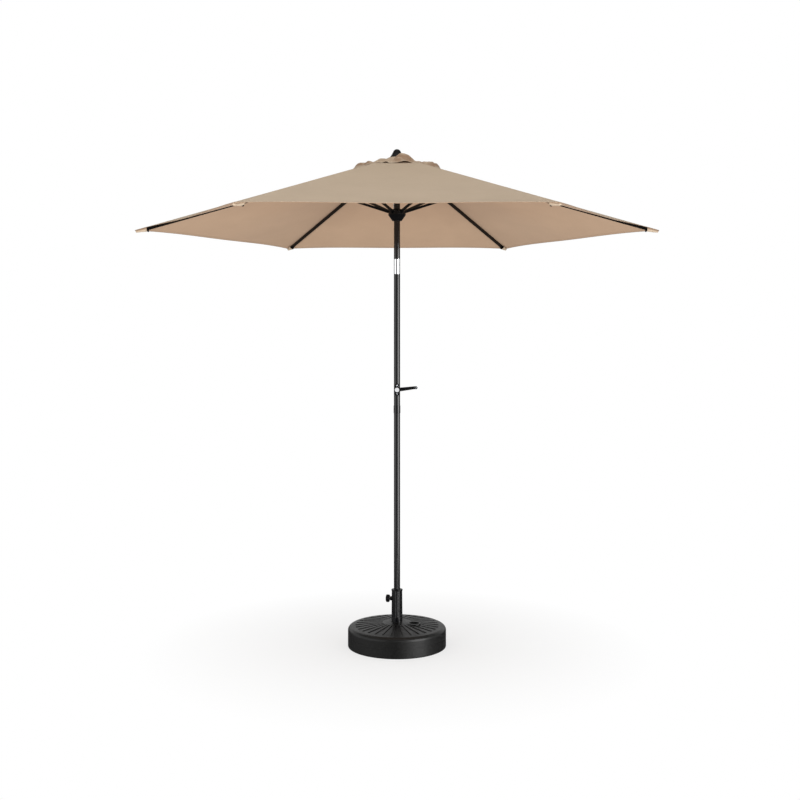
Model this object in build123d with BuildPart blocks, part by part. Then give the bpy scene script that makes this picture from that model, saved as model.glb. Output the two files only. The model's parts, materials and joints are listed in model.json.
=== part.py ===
from build123d import *
import os
from math import asin, atan, cos, radians, sin, sqrt, tan

# Patio umbrella on a fillable round base. Millimetres, +Z up.
# The origin is the middle of the base's underside. A canopy corner points along +X, the crank faces -Y.

os.makedirs("parts", exist_ok=True)

# Fits
fit = 0.05  # radial clearance of a pin, plug or sleeve
slide_gap = 0.35  # radial clearance of the runner on the pole
side_gap = 0.5  # clearance beside a folding arm
cloth_gap = 0.4  # clearance between cloth and frame

# Canopy
rib_count = 6
tip_radius = 1350.0
tip_height = 2137.0  # the canopy's ridge at its corner
apex_height = 2516.0  # where the ridges would meet on the axis
cloth = 0.8  # measured upright
hem_bow = 38.0  # how far the hem curves in between two corners
vent_radius = 150.0
cap_radius = 226.0
cap_lift = 16.0  # the vent cap's hem above the canopy
cloth_trim = 10.0  # cloth is made this far past its hem and then cut

# Poles
pole_radius = 16.0
pole_wall = 1.2
pole_foot = 24.0  # height of the pole's lower end
joint_height = 1216.0  # where the two halves of the pole meet
spigot_reach = 60.0  # length of the spigot in each half
collar_radius = 17.5
collar_length = 39.0

# Tilt joint
tilt_bottom = 1912.0
tilt_top = 1989.0
tilt_plug = 40.0  # length of each knuckle inside its tube
tongue_width = 16.0
tongue_clear = 0.4  # above and below the swinging tongue
cheek_radius = 12.0
tilt_pin_radius = 3.0
tilt_pin_inner = 5.0  # the pins stop short of the cord
cord_hole_radius = 4.0
cord_swing = 38.0  # degrees of room for the cord as the tongue swings
button_radius = 6.0
button_proud = 2.0
button_length = 8.0
button_edge = 1.2
button_rise = 10.0  # button axis above the band's lower edge
spring_room = 4.0
spring_leaf = 0.6
spring_width = 6.0
spring_half = 4.5  # half the leaf spring's span

# Folding frame
pivot_radius = 32.0  # rib pivots at the hub, strut pivots at the runner
rib_height = 15.0
rib_width = 10.0
rib_wall = 1.0
rib_solid_end = 16.0
corner_margin = 6.0  # from the rib's tip to the canopy's corner
tip_run = 64.0  # the tapered tip's length seen from above
tip_end_radius = 3.5
tip_root = 6.0  # full-height part of the tip
tip_tail = 24.0  # the tip's plug inside the rib
lug_length = 8.0
lug_drop = 10.0  # the tip's lug below the rib
lug_width = 6.0
strut_length = 440.0
strut_height = 12.0
strut_width = 8.0
strut_wall = 1.0
strut_solid_end = 10.0
strut_pivot_drop = 16.4  # strut pivot below the rib's middle line
bracket_wall = 1.5
bracket_length = 22.0
bracket_margin = 6.0  # metal round the pivot
rivet_radius = 1.5
rivet_step = 6.0
rivet_head = 1.0
pin_radius = 2.0

# Hub and finial
hub_radius = 46.0
hub_below = 14.0  # hub below the rib pivots
hub_above = 12.0
hub_slot_depth = 22.0  # radius where the rib slots start
hub_roof = 3.0
hub_edge = 3.0
hub_cap = 6.0  # hub above the mast's end
hub_pin_half = 11.0
finial_base_radius = 36.0
finial_neck_radius = 19.5
finial_skirt = 4.0
finial_flare = 8.0  # how far the flare stands out part way up
finial_flare_rise = 17.0
finial_crown = 12.6  # height of the domed top
finial_height = 45.0
stud_radius = 4.0
stud_length = 10.0

# Lift cord and pulley
cord_radius = 1.5
cord_azimuth = 210.0
cord_out = 19.5  # the outer run's distance from the axis
cord_in = -2.0  # the inner run's, along the same direction
pulley_width = 6.0
pulley_flange = 2.0  # flange above the cord's middle line
pulley_drop = 34.0  # pulley axle below the rib pivots
axle_radius = 2.0
axle_half = 13.2

# Runner
runner_ring_radius = 45.0
runner_tail_radius = 24.0
runner_core_radius = 23.0
runner_tail = 42.0  # tail below the strut pivots
runner_ring_low = 12.0
runner_ring_high = 6.0
runner_head = 18.0
runner_edge = 3.0
keyway_width = 14.0
keyway_depth = 3.4
cord_pocket = 8.0

# Crank
crank_rise = 102.0  # crank axis above the pole's joint
housing_length = 63.0
housing_width = 27.0
housing_face = 28.0  # front of the housing from the pole's axis
housing_edge = 4.0
screw_spacing = 43.0
screw_radius = 2.0
screw_head_radius = 4.2
screw_head = 2.6
shaft_radius = 4.0
shaft_back = 18.0
shaft_front = 38.0
spool_radius = 9.0
spool_flange_radius = 12.5
spool_half = 7.0
spool_flange = 1.6
crank_hub_radius = 13.0
crank_hub_depth = 13.0
crank_hub_edge = 1.5
arm_reach = 97.7
arm_rise = 6.9  # degrees above level
arm_root_radius = 10.0
arm_end_radius = 7.0
arm_depth = 9.0
arm_clear = 0.9  # arm in front of the screw heads
crank_cap_radius = 11.5
crank_cap_depth = 2.4
grip_radius = 8.0
grip_end_radius = 6.4
grip_length = 30.0
grip_pin_radius = 3.0
grip_head_radius = 5.0
grip_head = 2.0
grip_play = 0.3

# Base
base_radius = 252.0
base_rim = 104.0  # height where the top face starts inside the rounded edge
base_centre = 125.0
base_edge = 20.0
base_foot_edge = 5.0
base_wall = 5.0
boss_radius = 46.0
groove_count = 30
groove_angle = 5.0
groove_depth = 3.0
groove_inner = 74.0
groove_outer = 214.0
seam_height = 52.0
seam_depth = 1.0
seam_width = 2.4
filler_x = 88.0
filler_y = -27.0
filler_ring_radius = 34.0
filler_ring_rise = 3.5
filler_recess_radius = 25.0
filler_recess = 21.0
filler_hole_radius = 17.0
filler_wall = 4.0  # the neck is narrower than the raised ring by this
filler_neck = 9.0
plug_flange_radius = 22.0
plug_flange = 4.0
plug_bar = 9.0
plug_bar_rise = 6.0
plug_bar_edge = 1.5
plug_turn = 40.0  # degrees

# Socket tube and clamp
socket_top = 285.0
socket_flange_top = 291.0
socket_flange_radius = 29.0
socket_foot = 14.0
socket_radius_low = 28.5
socket_radius_high = 27.0
socket_wall = 4.0
collar_depth = 22.0
flange_edge = 2.5
cup_height = 40.0
clamp_height = 242.0
clamp_azimuth = 167.0
clamp_boss_radius = 11.0
clamp_boss_end = 34.0
clamp_bolt_radius = 4.0
clamp_bolt_chamfer = 0.8
clamp_nut_radius = 6.5
clamp_nut_depth = 6.0
knob_inner = 39.0
knob_outer = 57.0
knob_lobes = 5
knob_lobe_radius = 6.5
knob_lobe_orbit = 14.0
knob_core_radius = 16.0
knob_edge = 2.5
knob_round = 7.0  # rounding of the whole knob's rims
bolt_sunk = 10.0  # bolt inside the knob

# Worked out from the sizes above
ridge_slope = atan((apex_height - tip_height) / tip_radius)
half_step = 180.0 / rib_count
panel_fall = tan(ridge_slope) * tan(radians(half_step))  # beside a ridge
rib_drop = (rib_height / 2 + cloth_gap) / cos(ridge_slope) + cloth + panel_fall * rib_width / 2
hub_pivot = apex_height - rib_drop - pivot_radius * tan(ridge_slope)
hub_top = hub_pivot + hub_above
strut_run = sqrt(strut_length**2 - strut_pivot_drop**2)
fold_angle = ridge_slope + atan(strut_pivot_drop / strut_run)
runner_pivot = hub_pivot - 2 * strut_length * sin(fold_angle)
tilt_pivot = (tilt_bottom + tilt_top) / 2
crank_height = joint_height + crank_rise
pole_bore = pole_radius - pole_wall
cap_slope_start = (hub_radius + cloth_gap) / cos(radians(half_step))
pulley_height = hub_pivot - pulley_drop
cord_turn = (cord_out - cord_in) / 2
pulley_offset = (cord_out + cord_in) / 2
cord_direction = Vector(cos(radians(cord_azimuth)), sin(radians(cord_azimuth)), 0)


def ridge(radius):
    """Height of the canopy's ridge at a distance from the pole's axis."""
    return apex_height - radius * tan(ridge_slope)


def base_top(radius):
    """Height of the base's conical top face."""
    share = (base_radius - base_edge - radius) / (base_radius - base_edge - boss_radius)
    return base_rim + (base_centre - base_rim) * share


def save(part, name):
    """Label a finished piece and write it."""
    part.label = name
    export_step(part, f"parts/{name}.step")


def save_ring(part, name):
    """Write one copy of a piece for each rib."""
    for index in range(rib_count):
        turned = part.rotate(Axis.Z, index * 360.0 / rib_count)
        save(turned, f"{name}_{index + 1}")


# Base tank: a hollow ring with a well for the socket tube and a filler in its top
with BuildPart() as grooves:
    with BuildSketch(Plane.XZ):
        with BuildLine():
            Polyline(
                (groove_inner, base_top(groove_inner) - groove_depth),
                (groove_outer, base_top(groove_outer) - groove_depth),
                (groove_outer, base_centre),
                (groove_inner, base_centre),
                close=True,
            )
        make_face()
    revolve(axis=Axis.Z)
    with BuildSketch():
        groove_half = base_radius * tan(radians(groove_angle / 2))
        with PolarLocations(0, groove_count):
            Polygon(
                (0, 0),
                (base_radius, -groove_half),
                (base_radius, groove_half),
                align=None,
            )
        with Locations((filler_x, filler_y)):
            Circle(filler_ring_radius + groove_depth, mode=Mode.SUBTRACT)
    extrude(amount=base_centre, mode=Mode.INTERSECT)

with BuildPart() as base_tank:
    well_radius = socket_radius_low + fit
    with BuildSketch(Plane.XZ):
        with BuildLine():
            Polyline(
                (0, 0),
                (base_radius, 0),
                (base_radius, base_top(base_radius)),
                (boss_radius, base_centre),
                (0, base_centre),
                close=True,
            )
        make_face()
    revolve(axis=Axis.Z)
    outer_edges = base_tank.edges().filter_by(GeomType.CIRCLE).group_by(SortBy.RADIUS)[-1]
    fillet(outer_edges.sort_by(Axis.Z)[-1], base_edge)
    outer_edges = base_tank.edges().filter_by(GeomType.CIRCLE).group_by(SortBy.RADIUS)[-1]
    fillet(outer_edges.sort_by(Axis.Z)[0], base_foot_edge)
    with BuildSketch(Plane.XZ):
        with Locations((base_radius, seam_height)):
            Rectangle(2 * seam_depth, seam_width)
    revolve(axis=Axis.Z, mode=Mode.SUBTRACT)
    add(grooves.part, mode=Mode.SUBTRACT)
    with Locations((filler_x, filler_y, base_wall)):
        Cylinder(
            filler_ring_radius,
            base_centre + filler_ring_rise - 2 * base_wall,
            align=(Align.CENTER, Align.CENTER, Align.MIN),
        )
    with BuildSketch(Plane.XZ):
        cavity_inner = well_radius + base_wall
        cavity_outer = base_radius - base_wall
        cavity_drop = base_wall + groove_depth
        with BuildLine():
            Polyline(
                (cavity_inner, base_wall),
                (cavity_outer, base_wall),
                (cavity_outer, base_rim - base_edge),
                (cavity_outer - base_edge, base_top(cavity_outer) - cavity_drop),
                (cavity_inner, base_centre - cavity_drop),
                close=True,
            )
        make_face()
    revolve(axis=Axis.Z, mode=Mode.SUBTRACT)
    filler_top = base_centre + filler_ring_rise - base_wall
    filler_floor = filler_top - filler_recess
    with Locations((filler_x, filler_y, filler_floor - filler_neck)):
        Cylinder(
            filler_ring_radius - filler_wall,
            filler_neck + filler_recess,
            align=(Align.CENTER, Align.CENTER, Align.MIN),
        )
        Cylinder(
            filler_hole_radius,
            filler_neck,
            align=(Align.CENTER, Align.CENTER, Align.MIN),
            mode=Mode.SUBTRACT,
        )
    with Locations((filler_x, filler_y, filler_floor)):
        Cylinder(
            filler_recess_radius,
            filler_recess,
            align=(Align.CENTER, Align.CENTER, Align.MIN),
            mode=Mode.SUBTRACT,
        )
    with Locations((0, 0, socket_foot)):
        Cylinder(
            well_radius,
            base_centre,
            align=(Align.CENTER, Align.CENTER, Align.MIN),
            mode=Mode.SUBTRACT,
        )
save(base_tank.part, "base_tank")

# Filler plug: a stopper with a flange and a finger bar
with BuildPart() as filler_plug:
    with BuildSketch(Plane.XY.offset(filler_floor - filler_neck)):
        with Locations((filler_x, filler_y)):
            Circle(filler_hole_radius - fit)
    extrude(amount=filler_neck)
    with BuildSketch(Plane.XY.offset(filler_floor)):
        with Locations((filler_x, filler_y)):
            Circle(plug_flange_radius)
    extrude(amount=plug_flange)
    with BuildSketch(Plane.XY.offset(filler_floor + plug_flange)):
        with Locations((filler_x, filler_y)):
            SlotOverall(2 * filler_hole_radius, plug_bar, rotation=plug_turn)
    extrude(amount=plug_bar_rise)
    fillet(filler_plug.faces().sort_by(Axis.Z)[-1].edges(), plug_bar_edge)
save(filler_plug.part, "filler_plug")

# Socket tube with its clamp boss, top collar and foot cup
clamp_plane = Plane(
    origin=(0, 0, clamp_height),
    x_dir=(-sin(radians(clamp_azimuth)), cos(radians(clamp_azimuth)), 0),
    z_dir=(cos(radians(clamp_azimuth)), sin(radians(clamp_azimuth)), 0),
)
with BuildPart() as socket_tube:
    socket_bore = socket_radius_high - socket_wall
    with BuildSketch(Plane.XZ):
        with BuildLine():
            Polyline(
                (0, socket_foot),
                (socket_radius_low, socket_foot),
                (socket_radius_low, base_centre),
                (socket_radius_high, socket_top),
                (0, socket_top),
                close=True,
            )
        make_face()
    revolve(axis=Axis.Z)
    with BuildSketch(clamp_plane):
        Circle(clamp_boss_radius)
    extrude(amount=clamp_boss_end)
    with BuildSketch(Plane.XY.offset(socket_foot)):
        Circle(socket_bore)
    extrude(amount=socket_top, mode=Mode.SUBTRACT)
    with BuildSketch(clamp_plane):
        Circle(clamp_bolt_radius + fit)
    extrude(amount=clamp_boss_end, mode=Mode.SUBTRACT)
    with BuildSketch(clamp_plane.offset(clamp_boss_end - clamp_nut_depth)):
        RegularPolygon(clamp_nut_radius + fit, 6)
    extrude(amount=clamp_nut_depth, mode=Mode.SUBTRACT)
save(socket_tube.part, "socket_tube")

with BuildPart() as socket_collar:
    with BuildSketch(Plane.XZ):
        with BuildLine():
            Polyline(
                (pole_radius + fit, socket_top - collar_depth),
                (socket_bore - fit, socket_top - collar_depth),
                (socket_bore - fit, socket_top),
                (socket_flange_radius, socket_top),
                (socket_flange_radius, socket_flange_top),
                (pole_radius + fit, socket_flange_top),
                close=True,
            )
        make_face()
    revolve(axis=Axis.Z)
    flange_edges = socket_collar.edges().filter_by(GeomType.CIRCLE)
    fillet(flange_edges.group_by(SortBy.RADIUS)[-1].sort_by(Axis.Z)[-1], flange_edge)
save(socket_collar.part, "socket_collar")

with BuildPart() as foot_cup:
    with BuildSketch(Plane.XZ):
        with BuildLine():
            Polyline(
                (0, socket_foot),
                (socket_bore - fit, socket_foot),
                (socket_bore - fit, socket_foot + cup_height),
                (pole_radius + fit, socket_foot + cup_height),
                (pole_radius + fit, pole_foot),
                (0, pole_foot),
                close=True,
            )
        make_face()
    revolve(axis=Axis.Z)
save(foot_cup.part, "foot_cup")

# Clamp: a nut held in the boss, a bolt and a lobed knob
with BuildPart() as clamp_nut:
    with BuildSketch(clamp_plane.offset(clamp_boss_end - clamp_nut_depth)):
        RegularPolygon(clamp_nut_radius, 6)
        Circle(clamp_bolt_radius + fit, mode=Mode.SUBTRACT)
    extrude(amount=clamp_nut_depth)
save(clamp_nut.part, "clamp_nut")

with BuildPart() as clamp_bolt:
    with BuildSketch(clamp_plane.offset(pole_radius + fit)):
        Circle(clamp_bolt_radius)
    extrude(amount=knob_inner + bolt_sunk - pole_radius - fit)
    chamfer(clamp_bolt.faces().sort_by(clamp_plane.location.z_axis)[0].edges(), clamp_bolt_chamfer)
save(clamp_bolt.part, "clamp_bolt")

with BuildPart() as knob_drum:
    with BuildSketch(clamp_plane.offset(knob_inner)):
        Circle(knob_lobe_orbit + knob_lobe_radius)
    extrude(amount=knob_outer - knob_inner)
    fillet(knob_drum.edges().filter_by(GeomType.CIRCLE), knob_round)

with BuildPart() as clamp_knob:
    with BuildSketch(clamp_plane.offset(knob_inner)):
        Circle(knob_core_radius)
        with PolarLocations(knob_lobe_orbit, knob_lobes):
            Circle(knob_lobe_radius)
    extrude(amount=knob_outer - knob_inner)
    knob_faces = clamp_knob.faces().sort_by(clamp_plane.location.z_axis)
    fillet(knob_faces[-1].edges() + knob_faces[0].edges(), knob_edge)
    add(knob_drum.part, mode=Mode.INTERSECT)
    with BuildSketch(clamp_plane.offset(knob_inner)):
        Circle(clamp_bolt_radius)
    extrude(amount=bolt_sunk, mode=Mode.SUBTRACT)
save(clamp_knob.part, "clamp_knob")

# Lower pole, spigot and joint collar
with BuildPart() as lower_pole:
    with BuildSketch(Plane.XY.offset(pole_foot)):
        Circle(pole_radius)
        Circle(pole_bore, mode=Mode.SUBTRACT)
    extrude(amount=joint_height - pole_foot)
save(lower_pole.part, "lower_pole")

with BuildPart() as joint_spigot:
    with BuildSketch(Plane.XY.offset(joint_height - spigot_reach)):
        Circle(pole_bore - fit)
        Circle(pole_bore - fit - pole_wall, mode=Mode.SUBTRACT)
    extrude(amount=2 * spigot_reach)
save(joint_spigot.part, "joint_spigot")

with BuildPart() as joint_collar:
    with BuildSketch(Plane.XY.offset(joint_height - collar_length / 2)):
        Circle(collar_radius)
        Circle(pole_radius + fit, mode=Mode.SUBTRACT)
    extrude(amount=collar_length)
    collar_edges = joint_collar.edges().filter_by(GeomType.CIRCLE)
    fillet(collar_edges.group_by(SortBy.RADIUS)[-1], (collar_radius - pole_radius) / 2)
save(joint_collar.part, "joint_collar")

# Middle pole, bored for the crank shaft and the housing's screws
with BuildPart() as middle_pole:
    with BuildSketch(Plane.XY.offset(joint_height)):
        Circle(pole_radius)
        Circle(pole_bore, mode=Mode.SUBTRACT)
    extrude(amount=tilt_bottom - joint_height)
    with BuildSketch(Plane.XZ):
        with Locations((0, crank_height)):
            Circle(shaft_radius + fit)
    extrude(amount=2 * pole_radius, both=True, mode=Mode.SUBTRACT)
    with BuildSketch(Plane.XZ):
        with Locations((0, crank_height)):
            with GridLocations(0, screw_spacing, 1, 2):
                Circle(screw_radius + fit)
    extrude(amount=2 * pole_radius, mode=Mode.SUBTRACT)
save(middle_pole.part, "middle_pole")

# Crank housing: an oval saddle on the front of the pole
with BuildPart() as crank_housing:
    with BuildSketch(Plane.XZ.offset(pole_radius / 2)):
        with Locations((0, crank_height)):
            SlotOverall(housing_length, housing_width, rotation=90)
    extrude(amount=housing_face - pole_radius / 2)
    fillet(crank_housing.faces().sort_by(Axis.Y)[0].edges(), housing_edge)
    with BuildSketch(Plane.XY.offset(crank_height - housing_length)):
        Circle(pole_radius + fit)
    extrude(amount=2 * housing_length, mode=Mode.SUBTRACT)
    with BuildSketch(Plane.XZ):
        with Locations((0, crank_height)):
            Circle(shaft_radius + fit)
            with GridLocations(0, screw_spacing, 1, 2):
                Circle(screw_radius + fit)
    extrude(amount=housing_face, mode=Mode.SUBTRACT)
save(crank_housing.part, "crank_housing")

with BuildPart() as housing_screws:
    with BuildSketch(Plane.XZ.offset(pole_bore)):
        with Locations((0, crank_height)):
            with GridLocations(0, screw_spacing, 1, 2):
                Circle(screw_radius)
    extrude(amount=housing_face - pole_bore)
    with BuildSketch(Plane.XZ.offset(housing_face)):
        with Locations((0, crank_height)):
            with GridLocations(0, screw_spacing, 1, 2):
                Circle(screw_head_radius)
    extrude(amount=screw_head)
    for face in housing_screws.faces().group_by(Axis.Y)[0]:
        fillet(face.edges(), screw_head / 2)
save(housing_screws.part, "housing_screws")

# Crank: shaft, cord spool, arm, cap and the pin of its grip
hub_back = housing_face + grip_play
arm_back = housing_face + screw_head + arm_clear
arm_face = arm_back + arm_depth
arm_turn = radians(arm_rise)
arm_end_x = arm_reach * cos(arm_turn)
arm_end_z = crank_height + arm_reach * sin(arm_turn)
with BuildPart() as crank_shaft:
    with BuildSketch(Plane.XZ.offset(-shaft_back)):
        with Locations((0, crank_height)):
            Circle(shaft_radius)
    extrude(amount=shaft_back + shaft_front)
save(crank_shaft.part, "crank_shaft")

with BuildPart() as crank_spool:
    with BuildSketch(Plane.YZ):
        with BuildLine():
            inner_flange = spool_half - spool_flange
            Polyline(
                (-spool_half, crank_height + shaft_radius + fit),
                (-spool_half, crank_height + spool_flange_radius),
                (-inner_flange, crank_height + spool_flange_radius),
                (-inner_flange, crank_height + spool_radius),
                (inner_flange, crank_height + spool_radius),
                (inner_flange, crank_height + spool_flange_radius),
                (spool_half, crank_height + spool_flange_radius),
                (spool_half, crank_height + shaft_radius + fit),
                close=True,
            )
        make_face()
    revolve(axis=Axis((0, 0, crank_height), (0, 1, 0)))
save(crank_spool.part, "crank_spool")

with BuildPart() as crank_arm:
    with BuildSketch(Plane.XZ.offset(hub_back)):
        with Locations((0, crank_height)):
            Circle(crank_hub_radius)
    extrude(amount=crank_hub_depth)
    fillet(crank_arm.faces().sort_by(Axis.Y)[0].edges(), crank_hub_edge)
    with BuildSketch(Plane.XZ.offset(arm_back)):
        with Locations((0, crank_height)):
            Circle(arm_root_radius)
        with Locations((arm_end_x, arm_end_z)):
            Circle(arm_end_radius)
        make_hull()
    extrude(amount=arm_depth)
    with BuildSketch(Plane.XZ.offset(hub_back)):
        with Locations((0, crank_height)):
            Circle(shaft_radius + fit)
    extrude(amount=shaft_front - hub_back, mode=Mode.SUBTRACT)
    with BuildSketch(Plane.XZ):
        with Locations((arm_end_x, arm_end_z)):
            Circle(grip_pin_radius + fit)
    extrude(amount=hub_back + crank_hub_depth, mode=Mode.SUBTRACT)
save(crank_arm.part, "crank_arm")

with BuildPart() as crank_cap:
    with BuildSketch(Plane.XZ.offset(hub_back + crank_hub_depth)):
        with Locations((0, crank_height)):
            Circle(crank_cap_radius)
    extrude(amount=crank_cap_depth)
    fillet(crank_cap.faces().sort_by(Axis.Y)[0].edges(), crank_cap_depth / 2)
save(crank_cap.part, "crank_cap")

grip_back = arm_face + grip_play
grip_front = grip_back + grip_length
with BuildPart() as grip_pin:
    with BuildSketch(Plane.XZ.offset(arm_back)):
        with Locations((arm_end_x, arm_end_z)):
            Circle(grip_pin_radius)
    extrude(amount=arm_depth + 2 * grip_play + grip_length)
    with BuildSketch(Plane.XZ.offset(grip_front + grip_play)):
        with Locations((arm_end_x, arm_end_z)):
            Circle(grip_head_radius)
    extrude(amount=grip_head)
    fillet(grip_pin.faces().sort_by(Axis.Y)[0].edges(), grip_head / 2)
save(grip_pin.part, "grip_pin")

with BuildPart() as crank_grip:
    with BuildSketch(Plane.YZ.offset(arm_end_x)):
        with BuildLine():
            Polyline(
                (-grip_front, arm_end_z + grip_pin_radius + fit),
                (-grip_back, arm_end_z + grip_pin_radius + fit),
                (-grip_back, arm_end_z + grip_end_radius),
            )
            ThreePointArc(
                (-grip_back, arm_end_z + grip_end_radius),
                (-(grip_back + grip_front) / 2, arm_end_z + grip_radius),
                (-grip_front, arm_end_z + grip_end_radius),
            )
            Line(
                (-grip_front, arm_end_z + grip_end_radius),
                (-grip_front, arm_end_z + grip_pin_radius + fit),
            )
        make_face()
    revolve(axis=Axis((arm_end_x, 0, arm_end_z), (0, 1, 0)))
save(crank_grip.part, "crank_grip")

# Tilt joint: a forked lower knuckle, a tongue that swings back in it, two stub pins and a release button
# The fork and the tongue are rounded at the back alone, so that the front stays a plain tube.
cord_in_x = cord_in * cord_direction.X
cord_in_y = cord_in * cord_direction.Y
button_height = tilt_bottom + button_rise
button_back = pole_radius + button_proud - button_length
with BuildPart() as tilt_lower:
    with BuildSketch(Plane.XY.offset(tilt_bottom)):
        Circle(pole_radius)
    extrude(amount=tilt_pivot + cheek_radius - tilt_bottom)
    with BuildSketch(Plane.YZ):
        with Locations((0, (tilt_bottom + tilt_pivot) / 2)):
            Rectangle(2 * pole_radius, tilt_pivot - tilt_bottom)
        with Locations((0, tilt_pivot)):
            Circle(cheek_radius)
            Rectangle(pole_radius, cheek_radius, align=(Align.MAX, Align.MIN))
    extrude(amount=pole_radius, both=True, mode=Mode.INTERSECT)
    with BuildSketch(Plane.XZ):
        with Locations((0, tilt_pivot - pole_radius - tongue_clear)):
            Rectangle(
                tongue_width + 2 * fit,
                2 * pole_radius,
                align=(Align.CENTER, Align.MIN),
            )
    extrude(amount=pole_radius, both=True, mode=Mode.SUBTRACT)
    with BuildSketch(Plane.XY.offset(tilt_bottom - tilt_plug)):
        Circle(pole_bore - fit)
    extrude(amount=tilt_plug)
    with BuildSketch(Plane.XY.offset(tilt_bottom - tilt_plug)):
        with Locations((cord_in_x, cord_in_y)):
            Circle(cord_hole_radius)
    extrude(amount=tilt_top - tilt_bottom, mode=Mode.SUBTRACT)
    with BuildSketch(Plane.YZ):
        with Locations((0, tilt_pivot)):
            Circle(tilt_pin_radius + fit)
    extrude(amount=pole_radius, both=True, mode=Mode.SUBTRACT)
    with BuildSketch(Plane.XZ.offset(spring_room - button_back)):
        with Locations((0, button_height)):
            Circle(button_radius + fit)
    extrude(amount=-pole_radius, mode=Mode.SUBTRACT)
save(tilt_lower.part, "tilt_lower")

with BuildPart() as tilt_upper:
    with BuildSketch(Plane.YZ):
        with Locations((0, tilt_pivot)):
            Circle(pole_radius)
            Rectangle(pole_radius, pole_radius, align=(Align.MAX, Align.MAX))
        with Locations((0, (tilt_pivot + tilt_top) / 2)):
            Rectangle(2 * pole_radius, tilt_top - tilt_pivot)
    extrude(amount=tongue_width / 2, both=True)
    with BuildSketch(Plane.XY.offset(tilt_pivot - pole_radius)):
        Circle(pole_radius)
    extrude(amount=pole_radius + tilt_top - tilt_pivot, mode=Mode.INTERSECT)
    with BuildSketch(Plane.XY.offset(tilt_pivot + cheek_radius + tongue_clear)):
        Circle(pole_radius)
    extrude(amount=tilt_top - tilt_pivot - cheek_radius - tongue_clear)
    with BuildSketch(Plane.XY.offset(tilt_top)):
        Circle(pole_bore - fit)
    extrude(amount=tilt_plug)
    with BuildSketch(Plane.XY.offset(tilt_pivot - pole_radius)):
        with Locations((cord_in_x, cord_in_y)):
            Circle(cord_hole_radius)
    extrude(amount=2 * tilt_plug + pole_radius, mode=Mode.SUBTRACT)
    with BuildSketch(Plane.YZ.offset(cord_in_x)):
        swing_low = tilt_pivot - 2 * pole_radius
        swing_reach = 2 * pole_radius * tan(radians(cord_swing))
        with BuildLine():
            Polyline(
                (cord_in_y - cord_hole_radius, tilt_pivot),
                (cord_in_y + cord_hole_radius, tilt_pivot),
                (cord_in_y + cord_hole_radius + swing_reach, swing_low),
                (cord_in_y - cord_hole_radius, swing_low),
                close=True,
            )
        make_face()
    extrude(amount=cord_hole_radius, both=True, mode=Mode.SUBTRACT)
    with BuildSketch(Plane.YZ):
        with Locations((0, tilt_pivot)):
            Circle(tilt_pin_radius + fit)
    extrude(amount=pole_radius, both=True, mode=Mode.SUBTRACT)
save(tilt_upper.part, "tilt_upper")

pin_end = sqrt(pole_radius**2 - tilt_pin_radius**2) - fit
with BuildPart() as tilt_pins:
    for side in (1, -1):
        with BuildSketch(Plane.YZ.offset(side * tilt_pin_inner)):
            with Locations((0, tilt_pivot)):
                Circle(tilt_pin_radius)
        extrude(amount=side * (pin_end - tilt_pin_inner))
save(tilt_pins.part, "tilt_pins")

with BuildPart() as tilt_button:
    with BuildSketch(Plane.XZ.offset(-button_back)):
        with Locations((0, button_height)):
            Circle(button_radius)
    extrude(amount=-button_length)
    fillet(tilt_button.faces().sort_by(Axis.Y)[-1].edges(), button_edge)
save(tilt_button.part, "tilt_button")

with BuildPart() as button_spring:
    spring_floor = button_back - spring_room
    spring_top = button_back - fit
    with BuildSketch(Plane.XY.offset(button_height - spring_width / 2)):
        with BuildLine():
            ThreePointArc((-spring_half, spring_floor), (0, spring_top), (spring_half, spring_floor))
            Line((spring_half, spring_floor), (spring_half - spring_leaf, spring_floor))
            ThreePointArc(
                (spring_half - spring_leaf, spring_floor),
                (0, spring_top - spring_leaf),
                (spring_leaf - spring_half, spring_floor),
            )
            Line((spring_leaf - spring_half, spring_floor), (-spring_half, spring_floor))
        make_face()
    extrude(amount=spring_width)
save(button_spring.part, "button_spring")

# Mast with a slot for the pulley
pulley_plane = Plane(
    origin=tuple(cord_direction * pulley_offset + Vector(0, 0, pulley_height)),
    x_dir=tuple(cord_direction),
    z_dir=(cord_direction.Y, -cord_direction.X, 0),
)
with BuildPart() as mast_tube:
    with BuildSketch(Plane.XY.offset(tilt_top)):
        Circle(pole_radius)
        Circle(pole_bore, mode=Mode.SUBTRACT)
    extrude(amount=hub_top - hub_cap - tilt_top)
    with BuildSketch(pulley_plane):
        with Locations((pole_radius, 0)):
            Rectangle(2 * pole_radius, 2 * (cord_turn + pulley_flange) + 4 * side_gap)
    extrude(amount=pulley_width / 2 + side_gap, both=True, mode=Mode.SUBTRACT)
    with BuildSketch(pulley_plane):
        Circle(axle_radius + fit)
    extrude(amount=2 * pole_radius, both=True, mode=Mode.SUBTRACT)
save(mast_tube.part, "mast_tube")

with BuildPart() as cord_pulley:
    with BuildSketch(pulley_plane):
        Circle(cord_turn + pulley_flange)
    extrude(amount=pulley_width / 2, both=True)
    with BuildSketch(pulley_plane):
        Circle(cord_turn + 2 * pulley_flange)
        Circle(cord_turn - cord_radius - fit, mode=Mode.SUBTRACT)
    extrude(amount=cord_radius + fit, both=True, mode=Mode.SUBTRACT)
    with BuildSketch(pulley_plane):
        Circle(axle_radius)
    extrude(amount=axle_half, both=True)
save(cord_pulley.part, "cord_pulley")

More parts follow.
